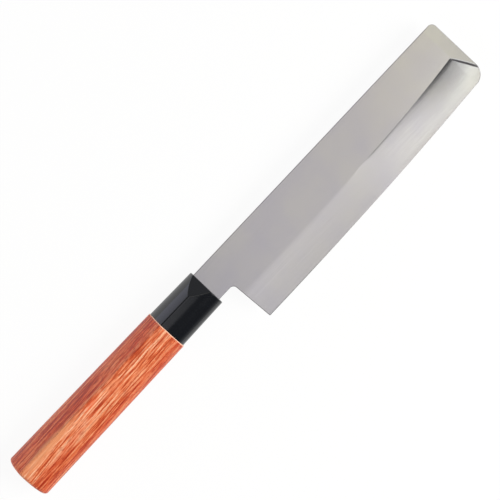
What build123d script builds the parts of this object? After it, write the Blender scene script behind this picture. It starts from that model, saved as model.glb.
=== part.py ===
from build123d import *
import os

os.makedirs("parts", exist_ok=True)

# A nakiri: a square-fronted kitchen knife with a hidden tang and a D-section handle.
# Millimetres. +X runs to the tip, +Y to the spine, +Z out of the blade's right side.
# The knife lies level on its left side. The origin is under the middle of the whole knife.

# Blade outline
edge_length = 165.0
heel_depth = 42.6
belly_rise = 4.6
neck_length = 10.2
neck_height = 18.2
heel_lean = 1.4
neck_corner_radius = 2.5
heel_corner_radius = 0.4
tip_spine_radius = 3.0
tip_edge_radius = 6.6

# Blade thickness and ground faces, alike on both sides
blade_thickness = 2.0
bevel_line_depth = 23.9
edge_bevel_width = 0.6
edge_bevel_thickness = 0.36
edge_thickness = 0.06
tip_facet_width = 6.8
tip_facet_drop = 0.58

# Depths of the bevel line's four control points, evenly spaced from heel to tip
bevel_line_shares = (1.0, 1.033, 1.05, 0.782)

# Stations along the edge at which the ground faces are laid, heel at 0 and tip at 1
station_shares = (-0.04, 0.2, 0.4, 0.6, 0.8, 1.04)

# Hidden tang
tang_length = 95.0
tang_root_height = 10.6
tang_end_height = 6.0
tang_thickness = 1.6
tang_end_radius = 2.0

# Handle: heights run from the spine side to the edge side, thicknesses from left to right
wood_length = 104.2
butt_height = 25.8
butt_thickness = 20.4
wood_front_height = 24.0
wood_front_thickness = 19.2
butt_dome_radius = 90.0
butt_corner_radius = 2.0
wood_rim_chamfer = 0.4
spine_above_axis = 9.35

# Ferrule
ferrule_length = 29.6
ferrule_rear_height = 23.1
ferrule_rear_thickness = 18.0
ferrule_front_height = 22.1
ferrule_front_thickness = 17.0
ferrule_front_radius = 0.5
ferrule_bore_diameter = 14.9
ferrule_bore_depth = 25.0
slot_clearance = 0.1
front_facet_length = 9.6
front_facet_upper_drop = 2.8
front_facet_lower_drop = 14.3

# Joints of the handle: a round tenon in the ferrule, a mortise round the tang
adhesive_thickness = 0.15
adhesive_end_thickness = 0.5
bedding_side = 0.7
bedding_end = 3.0

# One overrun for every cut that runs past what it cuts
overrun = 2.0

# D section as four curves, each with four control points (height, thickness) in halves of the section:
# ridge to top, top to left side, left side to bottom, bottom to ridge
section_shares = (
    ((0.31, 1.0), (0.64, 0.62), (1.0, 0.38), (1.0, 0.0)),
    ((1.0, 0.0), (1.0, -0.5523), (0.5523, -1.0), (0.0, -1.0)),
    ((0.0, -1.0), (-0.5523, -1.0), (-1.0, -0.5523), (-1.0, 0.0)),
    ((-1.0, 0.0), (-1.0, 0.64), (-0.27, 0.90), (0.31, 1.0)),
)

# Places along the knife
overall_length = wood_length + ferrule_length + neck_length + heel_lean + edge_length
butt_x = -overall_length / 2
wood_front_x = butt_x + wood_length
ferrule_front_x = wood_front_x + ferrule_length
heel_top_x = ferrule_front_x + neck_length
heel_x = heel_top_x + heel_lean
tip_x = heel_x + edge_length

# Places across the knife: the box runs from the top of the butt to the edge at the heel
handle_top_above_spine = butt_height / 2 - spine_above_axis
spine_y = (heel_depth - handle_top_above_spine) / 2
axis_y = spine_y - spine_above_axis
middle_z = butt_thickness / 2

# Sizes worked out from the joints
tenon_diameter = ferrule_bore_diameter - 2 * adhesive_thickness
tenon_length = ferrule_bore_depth - adhesive_end_thickness
tenon_front_x = wood_front_x + tenon_length
bore_end_x = wood_front_x + ferrule_bore_depth
mortise_height = tang_root_height + 2 * bedding_side
mortise_width = tang_thickness + 2 * bedding_side
mortise_end_x = ferrule_front_x - tang_length - bedding_end


def cross_plane(x):
    """Plane across the knife, with its own x along +Y and its own y along +Z."""
    return Plane(origin=(x, axis_y, middle_z), x_dir=(0, 1, 0), z_dir=(1, 0, 0))


def box_between(x_low, x_high, height, width):
    """Block along the handle's axis between two places."""
    length = x_high - x_low
    return Pos((x_low + x_high) / 2, axis_y, middle_z) * Box(length, height, width)


def rod_between(x_low, x_high, diameter):
    """Round rod along the handle's axis between two places."""
    return extrude(cross_plane(x_low) * Circle(diameter / 2), x_high - x_low)


def d_section(x, height, thickness):
    """Face of the handle's D section at one place."""
    curves = []
    for shares in section_shares:
        points = [(up * height / 2, out * thickness / 2) for up, out in shares]
        curves.append(Bezier(*points))
    return cross_plane(x) * make_face(curves)


def curve_at(controls, share):
    """Value of a cubic curve with evenly spaced control values."""
    rest = 1 - share
    a, b, c, d = controls
    return a * rest**3 + 3 * b * share * rest**2 + 3 * c * share**2 * rest + d * share**3


def edge_y_at(share):
    """The edge is a parabola, level at the heel and rising to the tip."""
    return spine_y - heel_depth + belly_rise * share**2


def bevel_line_y_at(share):
    """Line where the flat side turns into the wide bevel."""
    return spine_y - bevel_line_depth * curve_at(bevel_line_shares, share)


def blade_plate():
    """The blade's outline with its rounded corners, at full thickness."""
    edge_y = spine_y - heel_depth
    tip_edge_y = edge_y + belly_rise
    neck_y = spine_y - neck_height
    outline = [
        Line((ferrule_front_x, spine_y), (tip_x, spine_y)),
        Line((tip_x, spine_y), (tip_x, tip_edge_y)),
        Bezier((tip_x, tip_edge_y), ((heel_x + tip_x) / 2, edge_y), (heel_x, edge_y)),
        Line((heel_x, edge_y), (heel_top_x, neck_y)),
        Line((heel_top_x, neck_y), (ferrule_front_x, neck_y)),
        Line((ferrule_front_x, neck_y), (ferrule_front_x, spine_y)),
    ]
    half = blade_thickness / 2
    plate = extrude(Pos(0, 0, middle_z - half) * make_face(outline), blade_thickness)
    corners = (
        (tip_x, spine_y, tip_spine_radius),
        (tip_x, tip_edge_y, tip_edge_radius),
        (heel_x, edge_y, heel_corner_radius),
        (heel_top_x, neck_y, neck_corner_radius),
    )
    for x, y, radius in corners:
        upright = plate.edges().filter_by(Axis.Z).sort_by_distance((x, y, middle_z))[0]
        plate = fillet(upright, radius)
    return plate


def bevel_cut(side):
    """What grinding takes off one side: the wide bevel and the narrow one at the edge."""
    half = blade_thickness / 2
    sections = []
    for share in station_shares:
        x = heel_x + share * edge_length
        bevel_y = bevel_line_y_at(share) - axis_y
        edge_y = edge_y_at(share) - axis_y
        points = [
            (bevel_y, side * half),
            (edge_y + edge_bevel_width, side * edge_bevel_thickness / 2),
            (edge_y, side * edge_thickness / 2),
            (edge_y - overrun, side * edge_thickness / 2),
            (edge_y - overrun, side * (half + overrun)),
            (bevel_y, side * (half + overrun)),
        ]
        sections.append(cross_plane(x) * make_face(Polyline(*points, close=True)))
    return loft(sections)


def tip_cut(side):
    """The plane facet that thins the blade towards its square front end."""
    half = blade_thickness / 2
    slope = tip_facet_drop / tip_facet_width
    start_x = tip_x - tip_facet_width
    end_x = tip_x + overrun
    end_z = half - tip_facet_drop - slope * overrun
    points = [
        (start_x, middle_z + side * half),
        (end_x, middle_z + side * end_z),
        (end_x, middle_z + side * (half + overrun)),
        (start_x, middle_z + side * (half + overrun)),
    ]
    place = Plane(origin=(0, spine_y + overrun, 0), x_dir=(1, 0, 0), z_dir=(0, -1, 0))
    return extrude(place * make_face(Polyline(*points, close=True)), heel_depth + 2 * overrun)


def tang():
    """Flat bar, narrower and thinner than the neck, that tapers into the handle."""
    end_x = ferrule_front_x - tang_length
    root = tang_root_height / 2
    end = tang_end_height / 2
    points = [
        (ferrule_front_x, axis_y + root),
        (end_x, axis_y + end),
        (end_x, axis_y - end),
        (ferrule_front_x, axis_y - root),
    ]
    face = Pos(0, 0, middle_z - tang_thickness / 2) * make_face(Polyline(*points, close=True))
    bar = extrude(face, tang_thickness)
    return fillet(bar.edges().filter_by(Axis.Z).group_by(Axis.X)[0], tang_end_radius)


def blade():
    """One piece of steel: blade, neck with its shoulders, and tang."""
    ground = blade_plate()
    for side in (1, -1):
        ground -= bevel_cut(side)
        ground -= tip_cut(side)
    return ground + tang()


def handle_body():
    """Wood body with a domed butt, a turned tenon and a mortise for the tang."""
    rear = d_section(butt_x, butt_height, butt_thickness)
    front = d_section(wood_front_x, wood_front_height, wood_front_thickness)
    body = loft([rear, front], ruled=True)
    body &= Pos(butt_x + butt_dome_radius, axis_y, middle_z) * Sphere(butt_dome_radius)
    body = fillet(body.faces().sort_by(Axis.X)[0].edges(), butt_corner_radius)
    body = chamfer(body.faces().sort_by(Axis.X)[-1].edges(), wood_rim_chamfer)
    body += rod_between(wood_front_x, tenon_front_x, tenon_diameter)
    return body - box_between(mortise_end_x, tenon_front_x, mortise_height, mortise_width)


def ferrule_outline_point(drop):
    """Point on the right side of the ferrule's front outline, at one distance below its top."""
    front = d_section(ferrule_front_x, ferrule_front_height, ferrule_front_thickness)
    level = axis_y + ferrule_front_height / 2 - drop
    start = Vector(ferrule_front_x, level, middle_z)
    ray = Line(start, start + Vector(0, 0, ferrule_front_thickness))
    return (front & ray).vertices().sort_by(Axis.Z)[-1].center()


def ferrule_ridge_point(distance):
    """Point on the ferrule's ridge, at one distance behind its front."""
    ridge_height, ridge_out = section_shares[0][0]
    share = distance / ferrule_length
    height = ferrule_front_height + share * (ferrule_rear_height - ferrule_front_height)
    thickness = ferrule_front_thickness + share * (ferrule_rear_thickness - ferrule_front_thickness)
    ridge_y = axis_y + ridge_height * height / 2
    ridge_z = middle_z + ridge_out * thickness / 2
    return Vector(ferrule_front_x - distance, ridge_y, ridge_z)


def front_facet_cut():
    """Block over the plane through three points that takes the ridge off the ferrule's front."""
    upper = ferrule_outline_point(front_facet_upper_drop)
    lower = ferrule_outline_point(front_facet_lower_drop)
    apex = ferrule_ridge_point(front_facet_length)
    down = lower - upper
    place = Plane(origin=apex, x_dir=down, z_dir=(apex - upper).cross(down))
    return extrude(place * Rectangle(ferrule_length, ferrule_length), ferrule_length)


def ferrule():
    """Moulded cap with a closed front wall: a bore for the tenon, a slot for the tang."""
    rear = d_section(wood_front_x, ferrule_rear_height, ferrule_rear_thickness)
    front = d_section(ferrule_front_x, ferrule_front_height, ferrule_front_thickness)
    cap = loft([rear, front], ruled=True)
    cap = fillet(cap.faces().sort_by(Axis.X)[-1].edges(), ferrule_front_radius)
    cap -= front_facet_cut()
    cap -= rod_between(wood_front_x, bore_end_x, ferrule_bore_diameter)
    slot_height = tang_root_height + 2 * slot_clearance
    slot_width = tang_thickness + 2 * slot_clearance
    return cap - box_between(wood_front_x, ferrule_front_x, slot_height, slot_width)


def tang_bedding():
    """Cured resin that fills the mortise round the tang."""
    return box_between(mortise_end_x, tenon_front_x, mortise_height, mortise_width) - tang()


def ferrule_adhesive():
    """Thin cured film between the ferrule's bore and the tenon, closed at its front end."""
    film = rod_between(wood_front_x, bore_end_x, ferrule_bore_diameter)
    film -= rod_between(wood_front_x, tenon_front_x, tenon_diameter)
    return film - tang()


nodes = {
    "blade": blade(),
    "ferrule": ferrule(),
    "handle_body": handle_body(),
    "tang_bedding": tang_bedding(),
    "ferrule_adhesive": ferrule_adhesive(),
}
for name, shape in nodes.items():
    export_step(shape, f"parts/{name}.step")
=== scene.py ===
import math
import bpy
import bmesh
import numpy as np
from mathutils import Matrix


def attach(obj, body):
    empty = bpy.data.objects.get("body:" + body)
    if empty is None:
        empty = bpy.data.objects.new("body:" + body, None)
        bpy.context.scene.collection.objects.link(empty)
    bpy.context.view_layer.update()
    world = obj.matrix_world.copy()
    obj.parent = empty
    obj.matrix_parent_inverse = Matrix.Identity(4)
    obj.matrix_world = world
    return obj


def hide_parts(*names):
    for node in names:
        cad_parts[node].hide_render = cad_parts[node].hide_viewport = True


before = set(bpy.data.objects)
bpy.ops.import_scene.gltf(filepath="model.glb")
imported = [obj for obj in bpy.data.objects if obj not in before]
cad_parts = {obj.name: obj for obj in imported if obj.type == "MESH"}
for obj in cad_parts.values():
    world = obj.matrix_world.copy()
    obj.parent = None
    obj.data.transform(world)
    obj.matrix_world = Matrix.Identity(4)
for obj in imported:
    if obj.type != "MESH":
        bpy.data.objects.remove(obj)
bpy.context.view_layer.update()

# Nakiri knife, lying on its left side: +X to the tip, +Y to the spine, +Z out of the right side.
# Settings are in millimetres and degrees, or in metres where a note says so; meshes are in metres.
mm = 0.001
mergeDistance = 2e-6             # metres, under which two points of a mesh become one

# Places along and across the whole knife, as in the CAD
knife = {
    "buttX": -155.2,
    "woodFrontX": -51.0,
    "boreEndX": -26.0,
    "tenonFrontX": -26.5,
    "ferruleFrontX": -21.4,
    "heelX": -9.8,
    "tipX": 155.2,
    "spineY": 19.525,
    "axisY": 10.175,
    "middleZ": 10.2,
}

dSection = {
    # outline of wood and ferrule as four cubic curves, (height, thickness) in halves:
    # ridge to top, top to left side, left side to bottom, bottom to ridge
    "curves": [
        [(0.31, 1.0), (0.58, 0.75), (0.86, 0.52), (1.0, 0.0)],
        [(1.0, 0.0), (1.0, -0.5523), (0.5523, -1.0), (0.0, -1.0)],
        [(0.0, -1.0), (-0.5523, -1.0), (-1.0, -0.5523), (-1.0, 0.0)],
        [(-1.0, 0.0), (-1.0, 0.64), (-0.27, 0.90), (0.31, 1.0)],
    ],
    "ridgePoints": 9,            # on the curve that rounds the ridge
    "lowerCut": 0.7,             # that curve starts below the ridge at this share of its upper cut
}


# Mesh helpers

def gridFaces(rows, columns, start):
    # four neighbours of each cell of a rows x columns grid whose points are numbered from start
    index = np.arange(rows * columns).reshape(rows, columns) + start
    corners = [index[:-1, :-1], index[:-1, 1:], index[1:, 1:], index[1:, :-1]]
    return np.stack(corners, axis=-1).reshape(-1, 4)


def meshFromGrids(name, grids, sharpAngle):
    # grids of points in mm, joined where they touch: doubles merged, then all faces turned outwards
    points, faces, start = [], [], 0
    for grid in grids:
        rows, columns = grid.shape[:2]
        points.append(grid.reshape(-1, 3))
        faces.append(gridFaces(rows, columns, start))
        start += rows * columns
    mesh = bpy.data.meshes.new(name)
    mesh.from_pydata(np.concatenate(points) * mm, [], np.concatenate(faces))
    shell = bmesh.new()
    shell.from_mesh(mesh)
    bmesh.ops.remove_doubles(shell, verts=shell.verts, dist=mergeDistance)
    bmesh.ops.recalc_face_normals(shell, faces=shell.faces)
    shell.to_mesh(mesh)
    shell.free()
    mesh.polygons.foreach_set("use_smooth", np.ones(len(mesh.polygons), dtype=bool))
    mesh.set_sharp_from_angle(angle=math.radians(sharpAngle))
    mesh.update()
    piece = bpy.data.objects.new(name, mesh)
    bpy.context.scene.collection.objects.link(piece)
    return piece


def cubicCurve(controls, t):
    # Bezier curve: the four control points weighted with the cubic Bernstein shares of t
    a, b, c, d = [np.array(point, dtype=float) for point in controls]
    t = np.asarray(t, dtype=float)[:, None]
    rest = 1 - t
    return a * rest**3 + 3 * b * t * rest**2 + 3 * c * t**2 * rest + d * t**3


def dLoop(counts, ridgeCut):
    # closed D outline in halves: the four curves one after another, with the ridge's corner
    # replaced by a quadratic curve between two points near it; last point = first
    curves = dSection["curves"]
    lowerEnd = 1 - ridgeCut * dSection["lowerCut"]
    ends = [(ridgeCut, 1.0), (0.0, 1.0), (0.0, 1.0), (0.0, lowerEnd)]
    runs = []
    for controls, count, (low, high) in zip(curves, counts, ends):
        runs.append(cubicCurve(controls, np.linspace(low, high, count))[:-1])
    before = cubicCurve(curves[3], [lowerEnd])[0]
    after = cubicCurve(curves[0], [ridgeCut])[0]
    corner = np.array(curves[0][0])
    t = np.linspace(0, 1, dSection["ridgePoints"])[:, None]
    runs.append(before * (1 - t)**2 + 2 * corner * t * (1 - t) + after * t**2)
    return np.concatenate(runs)


def ringAt(x, outline):
    # (height, thickness) outline in mm, set round the handle's axis at place x, which is one
    # number or one for each point
    x = np.broadcast_to(x, outline.shape[:1])
    return np.stack([x, knife["axisY"] + outline[:, 0], knife["middleZ"] + outline[:, 1]], axis=-1)


def insetOutline(outline, inset):
    # every point drawn towards the axis by inset mm
    radius = np.linalg.norm(outline, axis=1, keepdims=True)
    return outline * (1 - inset / radius)


def roundOutline(outline, radius):
    # circle whose points lie in the same directions from the axis as the outline's
    return outline / np.linalg.norm(outline, axis=1, keepdims=True) * radius


def boxOutline(outline, height, width):
    # rectangle whose points lie in the same directions from the axis as the outline's
    reach = np.maximum(np.abs(outline[:, :1]) / (height / 2), np.abs(outline[:, 1:]) / (width / 2))
    return outline / reach


# Material helpers

noiseSpan = {"From Min": 0.3, "From Max": 0.7}   # where most of a noise's values lie
colourA, colourB, colourOut = 6, 7, 2            # colour sockets of a Mix node


def toLinear(hexColour):
    # sRGB hex colour to linear RGBA
    values = [int(hexColour[i:i + 2], 16) / 255 for i in (1, 3, 5)]
    return [v / 12.92 if v <= 0.04045 else ((v + 0.055) / 1.055)**2.4 for v in values] + [1.0]


def addNode(tree, kind, inputs=(), **options):
    # one node with its options; an input is given a value, or another node's output to link
    node = tree.nodes.new(kind)
    for option, value in options.items():
        setattr(node, option, value)
    for key, value in dict(inputs).items():
        if isinstance(value, bpy.types.NodeSocket):
            tree.links.new(value, node.inputs[key])
        else:
            node.inputs[key].default_value = value
    return node


def newMaterial(name):
    # empty material with a principled shader wired to its output
    material = bpy.data.materials.new(name)
    material.use_nodes = True
    tree = material.node_tree
    tree.nodes.clear()
    shader = addNode(tree, "ShaderNodeBsdfPrincipled")
    addNode(tree, "ShaderNodeOutputMaterial", {"Surface": shader.outputs[0]})
    return material, tree, shader


def setRamp(ramp, stops):
    # colour stops of a ramp: (place, hex colour)
    elements = ramp.color_ramp.elements
    while len(elements) < len(stops):
        elements.new(0.5)
    for element, (place, colour) in zip(elements, stops):
        element.position = place
        element.color = toLinear(colour)


# Blade

blade = {
    "edgeLength": 165.0,
    "heelDepth": 42.6,
    "bellyRise": 4.6,
    "bellyPower": 2.4,
    "neckHeight": 18.2,
    "heelLean": 1.4,             # the heel line leans back by this over its height
    "neckRadius": 2.5,
    "heelRadius": 0.4,
    "heelFade": 0.5,             # how fast the heel's rounding dies out along the edge
    "spineTipRadius": 3.0,
    "edgeTipRadius": 7.4,
    "edgeTipLift": 1.001,        # height of its circle's middle above the edge, in radii
    "thickness": 2.0,
    "bevelDepth": 23.9,          # from the spine to the line where the wide bevel starts
    "bevelShares": (1.0, 1.033, 1.05, 0.782),   # of that depth, evenly spaced from heel to tip
    "bevelEndHalf": 0.12,        # half thickness where the wide bevel meets the edge bevel
    "edgeBevelWidth": 0.25,
    "edgeBevelGain": 1.02,       # steepens the edge bevel, so that it ends within its width
    "edgeHalf": 0.03,
    "tipFacetWidth": 6.8,
    "tipFacetDrop": 0.58,
    # the grind by place: x, depth and width of the step under the bevel line, width over which the
    # line turns, and how hollow the ground face is (1 = flat)
    "grind": [
        (-9.8, 0.0, 0.6, 3.0, 1.0),
        (40.0, 0.0, 0.6, 2.2, 1.0),
        (70.0, 0.0, 0.6, 0.8, 1.0),
        (85.6, 0.075, 0.65, 0.5, 1.15),
        (101.0, 0.068, 0.65, 0.5, 1.5),
        (116.4, 0.058, 0.6, 0.5, 1.8),
        (131.7, 0.085, 0.8, 0.5, 2.05),
        (141.8, 0.19, 1.15, 0.9, 2.1),
        (147.0, 0.18, 0.65, 0.5, 2.25),
        (150.0, 0.16, 0.5, 0.5, 2.45),
    ],
    "diagonalStart": 0.95,       # the diagonal leaves the bevel line this far before the facet
    "diagonalSlope": 2.0,
    "diagonalWidth": (0.42, 0.045),   # at the bevel line, and its growth per mm below it
    "tipThinning": 0.20,         # of the ground face, at the tip end by the bevel line
    "easedEdge": 0.16,
    "roundedSpine": 0.42,
    "spineFade": 2.0,            # over this the spine's rounding becomes the eased edge at the tip
    "sharpAngle": 30,
    # the mesh: numbers of rows and columns, and single ones by their distance from what they follow
    "grid": {
        "heelColumns": [0, 0.01, 0.04, 0.09, 0.16, 0.4, 0.9],
        "columnsStart": 1.8,     # from the heel line
        "columns": 92,
        "tipColumns": 64,
        "leanEnd": 45.0,         # from the heel line, where the columns stand upright
        "edgeRows": [0, 0.4, 0.8, 0.94, 1],   # in widths of the edge bevel
        "bevelRows": 112,
        "bevelSpread": (0.45, 0.55),          # evenly, and crowded towards the bevel line
        "firstBevelRow": 0.001,  # share of the way from the edge bevel to the bevel line
        "lineRows": [0.04, 0.1, 0.2, 0.4, 0.8, 1.5],
        "cornerRows": [0, 0.01, 0.04, 0.09, 0.16, 0.5],
        "upperStart": 1.0,       # above the neck's corner
        "upperEnd": 0.6,         # below the spine
        "upperRows": 30,
        "spineRows": [0.42, 0.3, 0.2, 0.12, 0.06, 0.02, 0.004, 0],
        "neckRows": 14,
        "neckCornerRows": 16,
    },
}


def edgeY(x):
    # power curve, level at the heel
    share = np.clip((x - knife["heelX"]) / blade["edgeLength"], 0, None)
    return knife["spineY"] - blade["heelDepth"] + blade["bellyRise"] * share**blade["bellyPower"]


def bevelLineY(x):
    # depth below the spine: cubic curve with evenly spaced control values
    t = (x - knife["heelX"]) / blade["edgeLength"]
    a, b, c, d = blade["bevelShares"]
    shares = a * (1 - t)**3 + 3 * b * t * (1 - t)**2 + 3 * c * t**2 * (1 - t) + d * t**3
    return knife["spineY"] - blade["bevelDepth"] * shares


def smoothStep(low, high, x):
    # 0 below low, 1 above high, 3t2 - 2t3 between
    t = np.clip((x - low) / (high - low), 0, 1)
    return t * t * (3 - 2 * t)


heelLineSlope = blade["heelLean"] / (blade["heelDepth"] - blade["neckHeight"])
heelLineAngle = math.atan(heelLineSlope)
heelY = knife["spineY"] - blade["heelDepth"]
neckY = knife["spineY"] - blade["neckHeight"]
neckCentreY = neckY - blade["neckRadius"]
neckCentreX = (knife["heelX"] - heelLineSlope * (neckCentreY - heelY)
               - blade["neckRadius"] / math.cos(heelLineAngle))
spineCentreX = knife["tipX"] - blade["spineTipRadius"]
spineCentreY = knife["spineY"] - blade["spineTipRadius"]
edgeCentreX = knife["tipX"] - blade["edgeTipRadius"]
edgeCentreY = float(edgeY(edgeCentreX)) + blade["edgeTipRadius"] * blade["edgeTipLift"]


def outlineDistance(x, y):
    # distance inwards from the blade's outline, without its edge: the least of the distances to
    # spine, tip end, heel line and neck, with circles at the two tip corners and the neck's corner
    distance = np.minimum(knife["spineY"] - y, knife["tipX"] - x)
    upperCorner = blade["spineTipRadius"] - np.hypot(x - spineCentreX, y - spineCentreY)
    distance = np.where((x > spineCentreX) & (y > spineCentreY), upperCorner, distance)
    lowerCorner = blade["edgeTipRadius"] - np.hypot(x - edgeCentreX, y - edgeCentreY)
    distance = np.where((x > edgeCentreX) & (y < edgeCentreY), lowerCorner, distance)
    heelLine = x - knife["heelX"] + heelLineSlope * (y - heelY)
    neckCorner = np.hypot(x - neckCentreX, y - neckCentreY) - blade["neckRadius"]
    behind = np.where(x < neckCentreX, y - neckY, neckCorner)
    behind = np.where(y < neckCentreY, heelLine, behind)
    return np.minimum(distance, behind)


def halfThickness(x, y):
    # outer face: flat, falling evenly over the tip facet. Ground face, below the bevel line: a
    # power curve down to the edge, whose start is rounded over the turn width, less a step that
    # comes in exponentially, and less the thinning, which grows evenly over the facet and from
    # the edge up. Across the diagonal at the tip a bell curve leads from the ground face to the
    # outer one. Edge bevel and rounded outline come last: a straight fall and a quarter circle
    flat = blade["thickness"] / 2
    edge = edgeY(x)
    line = bevelLineY(x)
    facetX = knife["tipX"] - blade["tipFacetWidth"]
    facetShare = np.clip((x - facetX) / blade["tipFacetWidth"], 0, 1)
    outer = flat - blade["tipFacetDrop"] * facetShare

    places, *columns = zip(*blade["grind"])
    step, stepWidth, turn, power = [np.interp(x, places, column) for column in columns]
    below = np.clip(line - y, 0, None)
    turned = below - turn * (1 - np.exp(-below / turn))
    share = np.clip(turned / (line - edge - blade["edgeBevelWidth"] - turn), 0, 1)
    ground = flat - step * (1 - np.exp(-below / stepWidth))
    ground = ground - blade["tipThinning"] * facetShare * (1 - share)
    ground = ground - (flat - step - blade["bevelEndHalf"]) * (1 - (1 - share)**power)

    slope = blade["diagonalSlope"]
    diagonal = bevelLineY(facetX) - slope * (x - facetX + blade["diagonalStart"])
    across = (y - diagonal) / math.hypot(1, slope)
    widthAtLine, growth = blade["diagonalWidth"]
    cut = np.exp(-(np.clip(across, 0, None) / (widthAtLine + growth * below))**2)
    half = outer + (ground - outer) * np.where(below > 0, cut, 0)

    edgeRise = (blade["bevelEndHalf"] - blade["edgeHalf"]) / blade["edgeBevelWidth"]
    risen = edgeRise * np.clip(y - edge, 0, None) * blade["edgeBevelGain"]
    half = np.minimum(half, blade["edgeHalf"] + risen)
    fade = smoothStep(spineCentreX - blade["spineFade"], spineCentreX, x)
    spineRound = blade["roundedSpine"] + (blade["easedEdge"] - blade["roundedSpine"]) * fade
    inward = outlineDistance(x, y)
    rounding = np.where(inward < knife["spineY"] - y, blade["easedEdge"], spineRound)
    near = np.clip(rounding - inward, 0, rounding)
    half = half - (rounding - np.sqrt(rounding**2 - near**2))
    return np.maximum(half, blade["edgeHalf"])


def bladeOutlineGrids():
    # flat (x, y) grids: the main one has leaning columns from the heel line to the tip end, whose
    # rows follow the edge, the bevel line and the spine; the neck's shares the upper part of its
    # first column and ends below in the neck's rounded corner
    grid = blade["grid"]
    heelX, spineY = knife["heelX"], knife["spineY"]
    tipRadius, spineRadius = blade["edgeTipRadius"], blade["spineTipRadius"]
    tipBow = edgeCentreX + tipRadius * np.sin(np.linspace(0, math.pi / 2, grid["tipColumns"]))
    columns = np.concatenate([
        heelX + np.array(grid["heelColumns"]),
        np.linspace(heelX + grid["columnsStart"], edgeCentreX, grid["columns"])[:-1],
        tipBow,
    ])
    bow = np.sqrt(np.clip(tipRadius**2 - (columns - edgeCentreX)**2, 0, None))
    lowest = np.where(columns > edgeCentreX, edgeCentreY - bow, edgeY(columns))
    arch = np.sqrt(np.clip(spineRadius**2 - (columns - spineCentreX)**2, 0, None))
    highest = np.where(columns > spineCentreX, spineCentreY + arch, spineY)
    lean = heelLineSlope * (1 - smoothStep(heelX, heelX + grid["leanEnd"], columns))
    bevelY = bevelLineY(columns - lean * (bevelLineY(columns) - lowest))

    # rows: edge bevel in mm, ground face in shares of its height, upper part likewise
    height = spineY - bevelY[0]
    cornerTop = neckCentreY + blade["neckRadius"] * math.sin(heelLineAngle)
    cornerShare = (cornerTop - bevelY[0]) / height
    edgeRows = blade["edgeBevelWidth"] * np.array(grid["edgeRows"])
    t = np.linspace(0, 1, grid["bevelRows"])[1:]
    even, crowded = grid["bevelSpread"]
    bevelRows = np.concatenate([[grid["firstBevelRow"]], even * t + crowded * (1 - (1 - t)**2)])
    lineRows = np.array(grid["lineRows"]) / height
    upperStart = cornerShare + grid["upperStart"] / height
    upperEnd = 1 - grid["upperEnd"] / height
    upperRows = np.concatenate([
        lineRows,
        cornerShare + np.array(grid["cornerRows"]) / height,
        np.linspace(upperStart, upperEnd, grid["upperRows"]),
        1 - np.array(grid["spineRows"]) / height,
    ])
    cornerRow = len(edgeRows) + len(bevelRows) + len(lineRows)

    low, bevelLine, high = lowest[:, None], bevelY[:, None], highest[:, None]
    bevelStart = low + blade["edgeBevelWidth"]
    y = np.concatenate([
        low + edgeRows[None, :],
        bevelStart + (bevelLine - bevelStart) * bevelRows[None, :],
        bevelLine + (high - bevelLine) * upperRows[None, :],
    ], axis=1)
    x = columns[:, None] - lean[:, None] * (y - low)
    corner = np.clip(blade["heelRadius"] - (y - low), 0, None)
    rounded = blade["heelRadius"] - np.sqrt(np.clip(blade["heelRadius"]**2 - corner**2, 0, None))
    x = x + rounded * np.exp(-(columns[:, None] - heelX) / blade["heelFade"])
    main = np.stack([x, y], axis=-1)

    upper = main[0, cornerRow:]
    shares = ((upper[:, 1] - upper[0, 1]) / (upper[-1, 1] - upper[0, 1]))[None, :]
    turn = np.linspace(0, math.pi / 2 - heelLineAngle, grid["neckCornerRows"])
    straight = np.linspace(knife["ferruleFrontX"], neckCentreX, grid["neckRows"])[:-1]
    bottomX = np.concatenate([straight, neckCentreX + blade["neckRadius"] * np.sin(turn)])
    cornerY = neckCentreY + blade["neckRadius"] * np.cos(turn)
    bottomY = np.concatenate([np.full(len(straight), neckY), cornerY])
    along = (bottomX - bottomX[0]) / (bottomX[-1] - bottomX[0])
    topX = bottomX[0] + (upper[-1, 0] - bottomX[0]) * along
    neckX = bottomX[:, None] + (topX - bottomX)[:, None] * shares
    neckRowsY = bottomY[:, None] + (spineY - bottomY)[:, None] * shares
    neck = np.stack([neckX, neckRowsY], axis=-1)
    neck[-1] = upper
    return main, neck, cornerRow


def wallBetween(points, mirrored):
    # wall strip from the right side's border down to the left side's, with one row between
    return np.stack([points, (points + mirrored) / 2, mirrored], axis=1)


def makeBlade():
    # both sides of the flat grids, lifted by the half thickness, closed by walls round the outline
    main, neck, cornerRow = bladeOutlineGrids()
    sides = []
    for flatGrid in (main, neck):
        half = halfThickness(flatGrid[..., 0], flatGrid[..., 1])
        for direction in (1, -1):
            z = knife["middleZ"] + direction * half
            sides.append(np.concatenate([flatGrid, z[..., None]], axis=-1))
    mainRight, mainLeft, neckRight, neckLeft = sides
    walls = [
        wallBetween(mainRight[:, 0], mainLeft[:, 0]),
        wallBetween(mainRight[:, -1], mainLeft[:, -1]),
        wallBetween(mainRight[-1], mainLeft[-1]),
        wallBetween(mainRight[0, :cornerRow + 1], mainLeft[0, :cornerRow + 1]),
        wallBetween(neckRight[:, 0], neckLeft[:, 0]),
        wallBetween(neckRight[:, -1], neckLeft[:, -1]),
        wallBetween(neckRight[0], neckLeft[0]),
    ]
    return meshFromGrids("bladeSteel", sides + walls + [tangGrid()], blade["sharpAngle"])


tang = {
    "length": 95.0,
    "rootHeight": 10.6,
    "endHeight": 6.0,
    "thickness": 1.6,
    "endRadius": 2.0,
    "overrun": 0.5,              # how far it runs into the neck
    "rings": 20,
    "endRings": 9,
}


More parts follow.
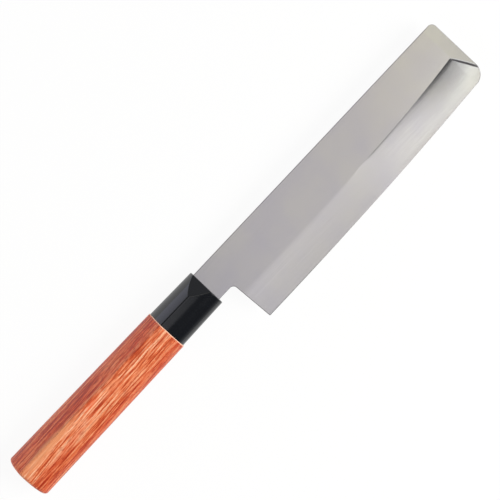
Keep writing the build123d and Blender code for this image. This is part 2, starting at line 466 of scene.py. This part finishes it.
def tangGrid():
    # rectangle carried along the handle's axis: its height falls evenly, and over the last
    # endRadius by a quarter circle as well; both ends are drawn to a point, flat
    start, radius = knife["ferruleFrontX"], tang["endRadius"]
    root = start + tang["overrun"]
    end = start - tang["length"]
    straight = np.linspace(start, end + radius, tang["rings"])
    bow = end + radius * (1 - np.cos(np.linspace(0, math.pi / 2, tang["endRings"])))
    x = np.concatenate([[root, root], straight, bow[::-1][1:], [end]])
    share = np.clip((start - x) / tang["length"], 0, 1)
    height = tang["rootHeight"] + (tang["endHeight"] - tang["rootHeight"]) * share
    near = np.clip(radius - (x - end), 0, None)
    height = height - 2 * (radius - np.sqrt(np.clip(radius**2 - near**2, 0, None)))
    scale = np.ones(len(x))
    scale[[0, -1]] = 0
    corners = np.array([(-1, -1), (1, -1), (1, 1), (-1, 1), (-1, -1)]) / 2
    y = knife["axisY"] + corners[None, :, 0] * (height * scale)[:, None]
    z = knife["middleZ"] + corners[None, :, 1] * (tang["thickness"] * scale)[:, None]
    return np.stack([np.broadcast_to(x[:, None], y.shape), y, z], axis=-1)


# Wooden handle

wood = {
    "buttHeight": 25.8,
    "buttThickness": 20.4,
    "frontHeight": 24.0,
    "frontThickness": 19.2,
    "domeRadius": 90.0,
    "domeBack": 0.12,            # keeps the butt inside the CAD box
    "buttRadius": 2.0,
    "rimRadius": 0.4,
    "tenonRadius": 7.3,
    "mortiseHeight": 12.0,
    "mortiseWidth": 3.0,
    "mortiseEndX": -119.4,
    "ridgeCut": 0.04,            # share of each curve that the rounded ridge takes
    "outlinePoints": (44, 30, 30, 64),   # on each curve of the D section
    "domeRings": 14,
    "buttRings": 10,
    "wallRings": 40,
    "rimRings": 6,
    "sharpAngle": 32,
}


def makeWood():
    # D outline carried from the middle of the domed butt over its rounded corner and along the
    # wall to the rim, then in to the tenon, along it, and back down the mortise to its end
    loop = dLoop(wood["outlinePoints"], wood["ridgeCut"])
    buttX, frontX = knife["buttX"], knife["woodFrontX"]
    dome, corner, rim = wood["domeRadius"], wood["buttRadius"], wood["rimRadius"]

    def outlineAt(x):
        # size changes evenly from butt to front
        share = ((np.broadcast_to(x, loop.shape[:1]) - buttX) / (frontX - buttX))[:, None]
        butt = np.array([[wood["buttHeight"], wood["buttThickness"]]]) / 2
        front = np.array([[wood["frontHeight"], wood["frontThickness"]]]) / 2
        return loop * (butt + (front - butt) * share)

    butt = outlineAt(buttX)
    radius = np.linalg.norm(butt, axis=1) - corner
    rings = []
    for share in np.linspace(0, 1, wood["domeRings"]):
        rise = dome - np.sqrt(dome**2 - (radius * share)**2)
        rings.append(ringAt(buttX + wood["domeBack"] + rise, insetOutline(butt, corner) * share))
    start = buttX + wood["domeBack"] + dome - np.sqrt(dome**2 - radius**2)
    for angle in np.linspace(0, math.pi / 2, wood["buttRings"])[1:]:
        x = start + corner * (1 - math.cos(angle))
        rings.append(ringAt(x, insetOutline(outlineAt(x), corner * (1 - math.sin(angle)))))
    wallStart = start + corner
    wallEnd = frontX - rim
    for share in np.linspace(0, 1, wood["wallRings"])[1:]:
        x = wallStart + (wallEnd - wallStart) * share
        rings.append(ringAt(x, outlineAt(x)))
    for angle in np.linspace(0, math.pi / 2, wood["rimRings"])[1:]:
        x = wallEnd + rim * math.sin(angle)
        rings.append(ringAt(x, insetOutline(outlineAt(x), rim * (1 - math.cos(angle)))))
    tenon = roundOutline(loop, wood["tenonRadius"])
    mortise = boxOutline(loop, wood["mortiseHeight"], wood["mortiseWidth"])
    rings.append(ringAt(frontX, tenon))
    rings.append(ringAt(knife["tenonFrontX"], tenon))
    rings.append(ringAt(knife["tenonFrontX"], mortise))
    rings.append(ringAt(wood["mortiseEndX"], mortise))
    rings.append(ringAt(wood["mortiseEndX"], mortise * 0))
    return meshFromGrids("handleWood", [np.stack(rings)], wood["sharpAngle"])


# Ferrule

ferrule = {
    "rearHeight": 23.1,
    "rearThickness": 18.0,
    "frontHeight": 22.1,
    "frontThickness": 17.0,
    "frontRadius": 0.5,
    "boreRadius": 7.45,
    "slotHeight": 10.8,
    "slotWidth": 1.8,
    "facetLength": 9.6,          # along the ridge
    "facetUpperDrop": 1.5,       # below the top, where the facet meets the front's outline
    "facetLowerDrop": 14.3,
    "facetBlend": 0.06,          # softness of the facet's border
    "ridgeCut": 0.045,           # share of each curve that the rounded ridge takes
    "outlinePoints": (84, 34, 34, 120),   # on each curve of the D section
    "backRings": 22,
    "facetRings": 72,
    "facetMargin": 0.6,          # the closer rings start this far behind the facet
    "frontRings": 7,
    "sharpAngle": 32,
}


def facetPlane():
    # plane through the ridge behind the front and two points of the front outline, facing out
    front = np.array([ferrule["frontHeight"], ferrule["frontThickness"]]) / 2
    rear = np.array([ferrule["rearHeight"], ferrule["rearThickness"]]) / 2
    share = ferrule["facetLength"] / (knife["ferruleFrontX"] - knife["woodFrontX"])
    t = np.linspace(0, 1, 400)   # fine enough to read the curves between their points
    upperCurve = cubicCurve(dSection["curves"][0], t) * front
    lowerCurve = cubicCurve(dSection["curves"][3], t) * front
    heights = [front[0] - ferrule["facetUpperDrop"], front[0] - ferrule["facetLowerDrop"]]
    upperOut = np.interp(heights[0], upperCurve[:, 0], upperCurve[:, 1])
    lowerOut = np.interp(heights[1], lowerCurve[:, 0], lowerCurve[:, 1])
    apex = np.array(dSection["curves"][0][0]) * (front + (rear - front) * share)
    upper = np.array([0, heights[0], upperOut])
    lower = np.array([0, heights[1], lowerOut])
    apex = np.array([-ferrule["facetLength"], *apex])
    normal = np.cross(apex - upper, lower - upper)
    normal = normal / np.linalg.norm(normal) * np.sign(normal[2])
    return normal, upper


def makeFerrule():
    # D outline carried along the outside to the rounded front, in to the slot, back through it,
    # out to the bore and back along it to the rear; points past the facet's plane are moved
    # onto it, straight across the handle
    loop = dLoop(ferrule["outlinePoints"], ferrule["ridgeCut"])
    front = np.array([[ferrule["frontHeight"], ferrule["frontThickness"]]]) / 2
    rear = np.array([[ferrule["rearHeight"], ferrule["rearThickness"]]]) / 2
    rearX, frontX = knife["woodFrontX"], knife["ferruleFrontX"]
    normal, onPlane = facetPlane()

    def outsideAt(x, inset=0.0):
        # size changes evenly; what is past the plane is taken off through a smooth maximum
        share = (frontX - x) / (frontX - rearX)
        outline = loop * (front + (rear - front) * share)
        if inset:
            outline = insetOutline(outline, inset)
        past = (x - frontX) * normal[0]
        past = past + (outline[:, 0] - onPlane[1]) * normal[1]
        past = past + (outline[:, 1] - onPlane[2]) * normal[2]
        soft = ferrule["facetBlend"]
        past = soft * np.logaddexp(0, past / soft)
        across = normal[1:] / (normal[1]**2 + normal[2]**2)
        return ringAt(x, outline - past[:, None] * across[None, :])

    radius = ferrule["frontRadius"]
    wallEnd = frontX - radius
    facetStart = frontX - ferrule["facetLength"] - ferrule["facetMargin"]
    rings = [outsideAt(x) for x in np.linspace(rearX, facetStart, ferrule["backRings"])]
    rings += [outsideAt(x) for x in np.linspace(facetStart, wallEnd, ferrule["facetRings"])[1:]]
    for angle in np.linspace(0, math.pi / 2, ferrule["frontRings"])[1:]:
        rings.append(outsideAt(wallEnd + radius * math.sin(angle), radius * (1 - math.cos(angle))))
    slot = boxOutline(loop, ferrule["slotHeight"], ferrule["slotWidth"])
    bore = roundOutline(loop, ferrule["boreRadius"])
    rings.append(ringAt(frontX, slot))
    rings.append(ringAt(knife["boreEndX"], slot))
    rings.append(ringAt(knife["boreEndX"], bore))
    rings.append(ringAt(rearX, bore))
    rings.append(rings[0])
    return meshFromGrids("ferruleShell", [np.stack(rings)], ferrule["sharpAngle"])


# Materials

steelLook = {
    "cool": "#C9C6C9",
    "warm": "#D0CDC9",
    "roughness": (0.14, 0.18),
    # along and across the blade; real satin lines are under 0.1 mm apart, drawn this coarse to show
    "lineSize": (30.0, 0.35),
    "lineHeight": 0.0002,
    "cloudSize": 22.0,
}


def satinStainlessSteel():
    # ground stainless steel with a satin finish: soft reflections, roughened a little by fine
    # lines along the blade, and faint warm and cool clouds
    material, tree, shader = newMaterial("satinStainlessSteel")
    place = addNode(tree, "ShaderNodeTexCoord").outputs["Object"]
    along, across = [1 / (size * mm) for size in steelLook["lineSize"]]
    drawn = addNode(tree, "ShaderNodeMapping", {
        "Vector": place, "Scale": (along, across, across)}).outputs[0]
    lines = addNode(tree, "ShaderNodeTexNoise", {
        "Vector": drawn, "Scale": 1.0, "Detail": 3.0, "Roughness": 0.6}).outputs["Fac"]
    clouds = addNode(tree, "ShaderNodeTexNoise", {
        "Vector": place, "Scale": 1 / (steelLook["cloudSize"] * mm), "Detail": 2.0}).outputs["Fac"]
    share = addNode(tree, "ShaderNodeMapRange", {"Value": clouds, **noiseSpan}).outputs[0]
    tone = addNode(tree, "ShaderNodeMix", {
        0: share, colourA: toLinear(steelLook["cool"]), colourB: toLinear(steelLook["warm"])},
        data_type="RGBA").outputs[colourOut]
    smooth, rough = steelLook["roughness"]
    gloss = addNode(tree, "ShaderNodeMapRange", {
        "Value": lines, **noiseSpan, "To Min": smooth, "To Max": rough}).outputs[0]
    bump = addNode(tree, "ShaderNodeBump", {
        "Height": lines, "Distance": steelLook["lineHeight"] * mm}).outputs[0]
    shader.inputs["Metallic"].default_value = 1.0
    tree.links.new(tone, shader.inputs["Base Color"])
    tree.links.new(gloss, shader.inputs["Roughness"])
    tree.links.new(bump, shader.inputs["Normal"])
    return material


plasticLook = {
    "black": "#04070D",
    "worn": "#080B12",
    "roughness": (0.13, 0.17),
    "ior": 1.54,
    "grainSize": 0.5,            # orange peel left by the mould
    "grainHeight": 0.001,
    "rubSize": 4.0,
    "skin": 0.4,                 # polished skin over the resin's own gloss
    "skinRoughness": 0.10,
}


def mouldedBlackAbs():
    # moulded and polished black ABS: deep black with clear soft-edged reflections, a trace of
    # orange peel and faint rubbed patches
    material, tree, shader = newMaterial("mouldedBlackAbs")
    place = addNode(tree, "ShaderNodeTexCoord").outputs["Object"]
    peel = addNode(tree, "ShaderNodeTexNoise", {
        "Vector": place, "Scale": 1 / (plasticLook["grainSize"] * mm),
        "Detail": 2.0}).outputs["Fac"]
    rubs = addNode(tree, "ShaderNodeTexNoise", {
        "Vector": place, "Scale": 1 / (plasticLook["rubSize"] * mm),
        "Detail": 4.0, "Roughness": 0.65}).outputs["Fac"]
    tone = addNode(tree, "ShaderNodeMix", {
        0: rubs, colourA: toLinear(plasticLook["black"]), colourB: toLinear(plasticLook["worn"])},
        data_type="RGBA").outputs[colourOut]
    smooth, rough = plasticLook["roughness"]
    gloss = addNode(tree, "ShaderNodeMapRange", {
        "Value": rubs, "From Min": 0.35, "From Max": 0.7,
        "To Min": smooth, "To Max": rough}).outputs[0]
    bump = addNode(tree, "ShaderNodeBump", {
        "Height": peel, "Distance": plasticLook["grainHeight"] * mm}).outputs[0]
    shader.inputs["IOR"].default_value = plasticLook["ior"]
    shader.inputs["Coat Weight"].default_value = plasticLook["skin"]
    shader.inputs["Coat Roughness"].default_value = plasticLook["skinRoughness"]
    tree.links.new(tone, shader.inputs["Base Color"])
    tree.links.new(gloss, shader.inputs["Roughness"])
    tree.links.new(bump, shader.inputs["Normal"])
    return material


woodLook = {
    "rise": 0.04,                # the grain rises towards the tip by this share
    "warpSize": (80.0, 10.0),    # along and across
    "warpHeight": 3.2,
    # noises drawn out along the grain: length, width and detail
    "layers": {
        "streaks": (44.0, 1.3, 3.0),
        "fine": (9.0, 0.7, 2.0),
        "pores": (3.0, 0.6, 1.0),
        "veins": (60.0, 2.4, 2.0),
        "veneers": (90.0, 4.0, 1.0),
    },
    "streakShare": 0.58,         # of the streaks in their mix with the fine grain
    "stops": [(0.41, "#BC4820"), (0.47, "#E47646"), (0.53, "#F8A074"), (0.59, "#FFC49E")],
    "poreColour": "#A93C1A",
    "poreShare": 0.5,
    "poreDepth": 0.02,
    "veinColour": "#A83210",
    "veinShare": 0.6,
    "veinHalf": 0.035,           # half width of a vein in the noise's own measure
    "veneerTint": "#E6A48C",
    "veneerShare": 0.5,
    # painted shade: the wood is darkened away from the ridge, over the upper facet and towards the
    # bottom, where the section turns from the light: from and to which height, tint
    "tints": [(11.0, -2.0, "#DBB092"), (12.5, 16.0, "#F8BFA0")],
    # broad marks: middle and half sizes, colour, strength
    "marks": [
        ((-136.0, 12.6, 19.5), (26.0, 3.4, 6.0), "#E89A6C", 0.75),
        ((-104.0, 11.6, 19.8), (7.0, 1.7, 3.0), "#E8532A", 0.45),
    ],
    "markBreak": 1.6,            # how much the streaks break up a mark's border
    "markBorder": (1.9, 1.2),    # where it starts and is full, in half sizes plus that break
    # painted highlight along the rounded front rim: colour, share, width, blend
    "rim": "#F8CBB0",
    "rimHighlightShare": 0.8,
    "rimHighlightWidth": 0.5,
    "rimHighlightBlend": 0.15,
    "roughness": (0.45, 0.60),
    "ior": 1.45,
    "lacquer": 0.35,
    "lacquerRoughness": 0.3,
}


def redLaminatedBirch():
    # laminated birch: red-dyed veneers pressed with resin, ground and polished; the grain shows as
    # long fine streaks with short darker pores, a pale figure where the surface runs along a
    # veneer, painted shade away from the ridge, a painted highlight along the front rim, and a thin
    # soft gloss
    material, tree, shader = newMaterial("redLaminatedBirch")
    metres = addNode(tree, "ShaderNodeTexCoord").outputs["Object"]
    place = addNode(tree, "ShaderNodeVectorMath", {
        0: metres, "Scale": 1 / mm}, operation="SCALE").outputs[0]
    axes = addNode(tree, "ShaderNodeSeparateXYZ", {0: place}).outputs

    # grain direction: lifted along the handle, with a slow warp
    along, across = [1 / size for size in woodLook["warpSize"]]
    drawn = addNode(tree, "ShaderNodeMapping", {
        "Vector": place, "Scale": (along, across, across)}).outputs[0]
    warp = addNode(tree, "ShaderNodeTexNoise", {
        "Vector": drawn, "Scale": 1.0, "Detail": 1.0}).outputs["Fac"]
    lift = addNode(tree, "ShaderNodeMath", {
        0: warp, 1: woodLook["warpHeight"], 2: axes["Y"]}, operation="MULTIPLY_ADD").outputs[0]
    lift = addNode(tree, "ShaderNodeMath", {
        0: axes["X"], 1: -woodLook["rise"], 2: lift}, operation="MULTIPLY_ADD").outputs[0]
    grain = addNode(tree, "ShaderNodeCombineXYZ", {
        "X": axes["X"], "Y": lift, "Z": axes["Z"]}).outputs[0]

    noises = {}
    for layer, (length, width, detail) in woodLook["layers"].items():
        drawn = addNode(tree, "ShaderNodeMapping", {
            "Vector": grain, "Scale": (1 / length, 1 / width, 1 / width),
            "Location": (length, width, detail)}).outputs[0]
        noises[layer] = addNode(tree, "ShaderNodeTexNoise", {
            "Vector": drawn, "Scale": 1.0, "Detail": detail, "Roughness": 0.6}).outputs["Fac"]
    mixed = addNode(tree, "ShaderNodeMix", {
        0: woodLook["streakShare"], 2: noises["fine"], 3: noises["streaks"]}).outputs[0]
    ramp = addNode(tree, "ShaderNodeValToRGB", {"Fac": mixed})
    setRamp(ramp, woodLook["stops"])
    dashes = addNode(tree, "ShaderNodeMapRange", {
        "Value": noises["pores"], "From Min": 0.55, "From Max": 0.68,
        "To Max": woodLook["poreShare"]}).outputs[0]
    colour = addNode(tree, "ShaderNodeMix", {
        0: dashes, colourA: ramp.outputs[0], colourB: toLinear(woodLook["poreColour"])},
        data_type="RGBA").outputs[colourOut]

    # veins: thin dark lines along which one slow noise passes its middle value
    offMiddle = addNode(tree, "ShaderNodeMath", {
        0: noises["veins"], 1: 0.5}, operation="SUBTRACT").outputs[0]
    nearness = addNode(tree, "ShaderNodeMath", {0: offMiddle}, operation="ABSOLUTE").outputs[0]
    vein = addNode(tree, "ShaderNodeMapRange", {
        "Value": nearness, "From Max": woodLook["veinHalf"],
        "To Min": woodLook["veinShare"], "To Max": 0.0}).outputs[0]
    colour = addNode(tree, "ShaderNodeMix", {
        0: vein, colourA: colour, colourB: toLinear(woodLook["veinColour"])},
        data_type="RGBA").outputs[colourOut]

    # veneers, and painted shade by height: both multiply what is there
    broad = addNode(tree, "ShaderNodeMapRange", {
        "Value": noises["veneers"], "From Min": 0.45, "From Max": 0.62,
        "To Max": woodLook["veneerShare"]}).outputs[0]
    colour = addNode(tree, "ShaderNodeMix", {
        0: broad, colourA: colour, colourB: toLinear(woodLook["veneerTint"])},
        data_type="RGBA", blend_type="MULTIPLY").outputs[colourOut]
    # painted shade: each tint darkens the colour towards the spine side above the ridge or towards
    # the edge side below it
    for fromHeight, toHeight, tint in woodLook["tints"]:
        shaded = addNode(tree, "ShaderNodeMapRange", {
            "Value": axes["Y"], "From Min": fromHeight, "From Max": toHeight}).outputs[0]
        colour = addNode(tree, "ShaderNodeMix", {
            0: shaded, colourA: colour, colourB: toLinear(tint)},
            data_type="RGBA", blend_type="MULTIPLY").outputs[colourOut]

    # marks: full in the middle of an ellipsoid, gone at its border, broken up by the streaks
    borderStart, borderFull = woodLook["markBorder"]
    for (x, y, z), halfSizes, markColour, strength in woodLook["marks"]:
        centre = (x, y - woodLook["rise"] * x + woodLook["warpHeight"] / 2, z)
        moved = addNode(tree, "ShaderNodeVectorMath", {
            0: grain, 1: centre}, operation="SUBTRACT").outputs[0]
        scaled = addNode(tree, "ShaderNodeVectorMath", {
            0: moved, 1: halfSizes}, operation="DIVIDE").outputs[0]
        reach = addNode(tree, "ShaderNodeVectorMath", {
            0: scaled}, operation="LENGTH").outputs["Value"]
        broken = addNode(tree, "ShaderNodeMath", {
            0: noises["streaks"], 1: woodLook["markBreak"], 2: reach},
            operation="MULTIPLY_ADD").outputs[0]
        mark = addNode(tree, "ShaderNodeMapRange", {
            "Value": broken, "From Min": borderStart, "From Max": borderFull,
            "To Max": strength}, interpolation_type="SMOOTHSTEP").outputs[0]
        colour = addNode(tree, "ShaderNodeMix", {
            0: mark, colourA: colour, colourB: toLinear(markColour)},
            data_type="RGBA").outputs[colourOut]

    # painted highlight: a pale band along the front rim, standing in for the light its rounding
    # catches
    rimHighlightStart = knife["woodFrontX"] - woodLook["rimHighlightWidth"]
    rim = addNode(tree, "ShaderNodeMapRange", {
        "Value": axes["X"], "From Min": rimHighlightStart, "From Max": rimHighlightStart + woodLook["rimHighlightBlend"],
        "To Max": woodLook["rimHighlightShare"]}).outputs[0]
    colour = addNode(tree, "ShaderNodeMix", {
        0: rim, colourA: colour, colourB: toLinear(woodLook["rim"])},
        data_type="RGBA").outputs[colourOut]
    smooth, rough = woodLook["roughness"]
    gloss = addNode(tree, "ShaderNodeMapRange", {
        "Value": noises["streaks"], **noiseSpan, "To Min": smooth, "To Max": rough}).outputs[0]
    bump = addNode(tree, "ShaderNodeBump", {
        "Height": noises["pores"], "Strength": 0.6,
        "Distance": woodLook["poreDepth"] * mm}).outputs[0]
    shader.inputs["IOR"].default_value = woodLook["ior"]
    shader.inputs["Coat Weight"].default_value = woodLook["lacquer"]
    shader.inputs["Coat Roughness"].default_value = woodLook["lacquerRoughness"]
    tree.links.new(colour, shader.inputs["Base Color"])
    tree.links.new(gloss, shader.inputs["Roughness"])
    tree.links.new(bump, shader.inputs["Normal"])
    return material


resinLook = {
    # node: material name, pale and dark colour
    "joints": {
        "tang_bedding": ("curedEpoxyBedding", "#C9B78A", "#A8926A"),
        "ferrule_adhesive": ("curedGlueFilm", "#D8CDA6", "#BFB087"),
    },
    "cloudSize": 5.0,
    "bubbleSize": 0.8,
    "bubbleDepth": 0.05,
    "roughness": 0.45,
    "ior": 1.55,
}


def curedResin(name, pale, dark):
    # cured epoxy, poured and hidden: cloudy, with small bubbles
    material, tree, shader = newMaterial(name)
    place = addNode(tree, "ShaderNodeTexCoord").outputs["Object"]
    clouds = addNode(tree, "ShaderNodeTexNoise", {
        "Vector": place, "Scale": 1 / (resinLook["cloudSize"] * mm), "Detail": 3.0}).outputs["Fac"]
    bubbles = addNode(tree, "ShaderNodeTexVoronoi", {
        "Vector": place, "Scale": 1 / (resinLook["bubbleSize"] * mm)}).outputs["Distance"]
    tone = addNode(tree, "ShaderNodeMix", {
        0: clouds, colourA: toLinear(dark), colourB: toLinear(pale)},
        data_type="RGBA").outputs[colourOut]
    bump = addNode(tree, "ShaderNodeBump", {
        "Height": bubbles, "Strength": 0.5, "Distance": resinLook["bubbleDepth"] * mm}).outputs[0]
    shader.inputs["Roughness"].default_value = resinLook["roughness"]
    shader.inputs["IOR"].default_value = resinLook["ior"]
    tree.links.new(tone, shader.inputs["Base Color"])
    tree.links.new(bump, shader.inputs["Normal"])
    return material


# Pieces: each replaces its node of the CAD model and rides on the one body; the two hidden
# joints keep their nodes

print("blade")
steelPiece = makeBlade()
steelPiece.data.materials.append(satinStainlessSteel())
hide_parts("blade")

print("handle")
woodPiece = makeWood()
woodPiece.data.materials.append(redLaminatedBirch())
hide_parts("handle_body")

print("ferrule")
ferrulePiece = makeFerrule()
ferrulePiece.data.materials.append(mouldedBlackAbs())
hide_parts("ferrule")

for piece in (steelPiece, woodPiece, ferrulePiece):
    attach(piece, "root")

print("hidden joints")
for nodeName, (resinName, pale, dark) in resinLook["joints"].items():
    resin = curedResin(resinName, pale, dark)
    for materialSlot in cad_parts[nodeName].material_slots:
        materialSlot.material = resin


# Floor

floorSettings = {
    "half": 4.0,                 # metres
    "pale": "#FBFBFB",
    "white": "#FFFFFF",
    "fibreSize": 2.0,
    "whiteShare": 0.93,          # of plain white in what the camera and reflections see
}


def whitePaper():
    # matt white paper: part diffuse, so that it keeps the shadow, and part plain white to the
    # camera and to reflections; from underneath it is clear
    material = bpy.data.materials.new("whitePaper")
    material.use_nodes = True
    tree = material.node_tree
    tree.nodes.clear()
    place = addNode(tree, "ShaderNodeTexCoord").outputs["Object"]
    fibres = addNode(tree, "ShaderNodeTexNoise", {
        "Vector": place, "Scale": 1 / (floorSettings["fibreSize"] * mm),
        "Detail": 2.0}).outputs["Fac"]
    tone = addNode(tree, "ShaderNodeMix", {
        0: fibres, colourA: toLinear(floorSettings["pale"]),
        colourB: toLinear(floorSettings["white"])}, data_type="RGBA").outputs[colourOut]
    paper = addNode(tree, "ShaderNodeBsdfDiffuse", {"Color": tone}).outputs[0]
    white = addNode(tree, "ShaderNodeEmission", {
        "Color": (1, 1, 1, 1), "Strength": 1.0}).outputs[0]
    rays = addNode(tree, "ShaderNodeLightPath").outputs
    mirrored = addNode(tree, "ShaderNodeMath", {
        0: rays["Is Glossy Ray"], 1: rays["Is Transmission Ray"]}, operation="MAXIMUM").outputs[0]
    seen = addNode(tree, "ShaderNodeMath", {
        0: rays["Is Camera Ray"], 1: mirrored}, operation="MAXIMUM").outputs[0]
    share = addNode(tree, "ShaderNodeMath", {
        0: seen, 1: floorSettings["whiteShare"]}, operation="MULTIPLY").outputs[0]
    top = addNode(tree, "ShaderNodeMixShader", {0: share, 1: paper, 2: white}).outputs[0]
    clear = addNode(tree, "ShaderNodeBsdfTransparent").outputs[0]
    under = addNode(tree, "ShaderNodeNewGeometry").outputs["Backfacing"]
    both = addNode(tree, "ShaderNodeMixShader", {0: under, 1: top, 2: clear}).outputs[0]
    addNode(tree, "ShaderNodeOutputMaterial", {"Surface": both})
    return material


print("floor")
half = floorSettings["half"]
floorCorners = [(-half, -half, 0), (half, -half, 0), (half, half, 0), (-half, half, 0)]
floorMesh = bpy.data.meshes.new("paperFloor")
floorMesh.from_pydata(floorCorners, [], [(0, 1, 2, 3)])
floorMesh.materials.append(whitePaper())
floorPiece = bpy.data.objects.new("paperFloor", floorMesh)
bpy.context.scene.collection.objects.link(floorPiece)


# World: pale walls that darken upwards, sooner on the side with the dark curtain, and a dim
# ceiling; white to the camera everywhere

worldSettings = {
    "curtain": (-0.5, -0.866, 0.0),   # direction towards it
    "curtainBorder": (0.2, 0.75),     # facing it by less than this is plain wall, by more curtain
    "horizon": (0.8, 0.5),            # brightness at the horizon: wall, curtain
    "fade": (0.85, 0.45),             # sine of the height at which they are dim: wall, curtain
    "dim": 0.13,
}

print("world")
world = bpy.data.worlds.new("studioRoom")
bpy.context.scene.world = world
world.use_nodes = True
roomTree = world.node_tree
roomTree.nodes.clear()
direction = addNode(roomTree, "ShaderNodeTexCoord").outputs["Generated"]
rise = addNode(roomTree, "ShaderNodeSeparateXYZ", {0: direction}).outputs["Z"]
facing = addNode(roomTree, "ShaderNodeVectorMath", {
    0: direction, 1: worldSettings["curtain"]}, operation="DOT_PRODUCT").outputs["Value"]
borderStart, borderEnd = worldSettings["curtainBorder"]
horizon, fadeTop = [
    addNode(roomTree, "ShaderNodeMapRange", {
        "Value": facing, "From Min": borderStart, "From Max": borderEnd,
        "To Min": wall, "To Max": curtain}).outputs[0]
    for wall, curtain in (worldSettings["horizon"], worldSettings["fade"])
]
level = addNode(roomTree, "ShaderNodeMapRange", {
    "Value": rise, "From Min": 0.0, "From Max": fadeTop,
    "To Min": horizon, "To Max": worldSettings["dim"]},
    interpolation_type="SMOOTHSTEP").outputs[0]
cameraRay = addNode(roomTree, "ShaderNodeLightPath").outputs["Is Camera Ray"]
brightness = addNode(roomTree, "ShaderNodeMath", {
    0: level, 1: cameraRay}, operation="MAXIMUM").outputs[0]
room = addNode(roomTree, "ShaderNodeBackground", {
    "Color": (1, 1, 1, 1), "Strength": brightness}).outputs[0]
addNode(roomTree, "ShaderNodeOutputWorld", {"Surface": room})


# Soft boxes: place and size in metres, radiance and colour. Each points at "to", or straight
# down. The two keys light only diffusely: their mirror image would burn out the steel

lamps = {
    "overHandle": {
        "at": (-0.12, -0.28, 1.5), "size": (0.16, 0.76), "level": 0.56, "colour": "#FBFBFF"},
    "overHeel": {
        "at": (0.075, 0.005, 1.5), "size": (0.35, 0.59), "level": 0.60, "colour": "#FCFAFF"},
    "bevelStrip": {
        "at": (0.13, -0.20, 1.48), "size": (0.46, 0.20), "level": 0.25, "colour": "#FFFFFF"},
    "overMiddle": {
        "at": (0.300, -0.20, 1.47), "size": (0.105, 0.18), "level": 1.15, "colour": "#FFFFFA"},
    "overCorner": {
        "at": (0.475, -0.19, 1.47), "size": (0.09, 0.18), "level": 1.35, "colour": "#FAFFFA"},
    "overTip": {
        "at": (0.405, 0.11, 1.5), "size": (0.31, 0.46), "level": 0.72, "colour": "#FFFBEE"},
    "tipBand": {
        "at": (0.72, 0.10, 1.5), "size": (0.32, 0.42), "level": 0.86, "colour": "#FFFEEC"},
    "tipEdge": {
        "at": (0.45, -0.085, 1.46), "size": (0.26, 0.035), "level": 2.0, "colour": "#F4FFFF"},
    "edgeGlow": {
        "at": (0.34, -1.22, 1.45), "to": (0.12, 0, 0),
        "size": (0.48, 0.36), "level": 1.5, "colour": "#FFFFFF"},
    "spineStrip": {
        "at": (0.0, 1.3, 0.25), "to": (0.0, 0.0, 0.02),
        "size": (1.6, 0.42), "level": 0.72, "colour": "#DADEFF"},
    "facetFill": {
        "at": (1.12, 0.78, 1.46), "to": (0, 0, 0),
        "size": (0.8, 0.8), "level": 0.09, "colour": "#F4F8FF"},
    "frontKey": {
        "at": (0.75, -1.04, 1.0), "to": (0, 0, 0),
        "size": (0.95, 0.95), "level": 10.0, "colour": "#FFFDF8", "mirrored": False},
    "rearKey": {
        "at": (-1.15, -0.02, 0.85), "to": (0, 0, 0),
        "size": (0.95, 0.95), "level": 1.35, "colour": "#FFFDF8", "mirrored": False},
}


def lookRotation(start, end):
    # turn that points a lamp's -Z from start to end
    away = [e - s for s, e in zip(start, end)]
    length = math.sqrt(sum(a * a for a in away))
    tilt = math.acos(-away[2] / length)
    turn = math.atan2(away[1], away[0]) - math.pi / 2 if tilt > 1e-6 else 0.0
    return (tilt, 0.0, turn)


print("lamps")
for name, lamp in lamps.items():
    light = bpy.data.lights.new(name, "AREA")
    light.shape = "RECTANGLE"
    light.size, light.size_y = lamp["size"]
    light.energy = lamp["level"] * math.pi * lamp["size"][0] * lamp["size"][1]
    light.color = toLinear(lamp["colour"])[:3]
    lampObject = bpy.data.objects.new(name, light)
    lampObject.location = lamp["at"]
    straightDown = (*lamp["at"][:2], 0)
    lampObject.rotation_euler = lookRotation(lamp["at"], lamp.get("to", straightDown))
    lampObject.visible_camera = False
    lampObject.visible_glossy = lamp.get("mirrored", True)
    bpy.context.scene.collection.objects.link(lampObject)


# Camera straight above, turned so that the knife runs up to the right as in the photograph

view = {
    "centre": (7.5, 7.19, 10.2),
    "distance": 900.0,
    "turn": -46.7,
    "frameWidth": 254.3,         # seen at the centre's height
    "sensor": 36.0,
}

print("camera")
cameraData = bpy.data.cameras.new("overheadCamera")
cameraData.sensor_width = view["sensor"]
cameraData.lens = view["sensor"] * view["distance"] / view["frameWidth"]
camera = bpy.data.objects.new("overheadCamera", cameraData)
centreX, centreY, centreZ = view["centre"]
camera.location = [centreX * mm, centreY * mm, (centreZ + view["distance"]) * mm]
camera.rotation_euler = (0, 0, math.radians(view["turn"]))
bpy.context.scene.collection.objects.link(camera)
bpy.context.scene.camera = camera
bpy.context.scene.view_settings.view_transform = "Standard"

bpy.context.view_layer.update()
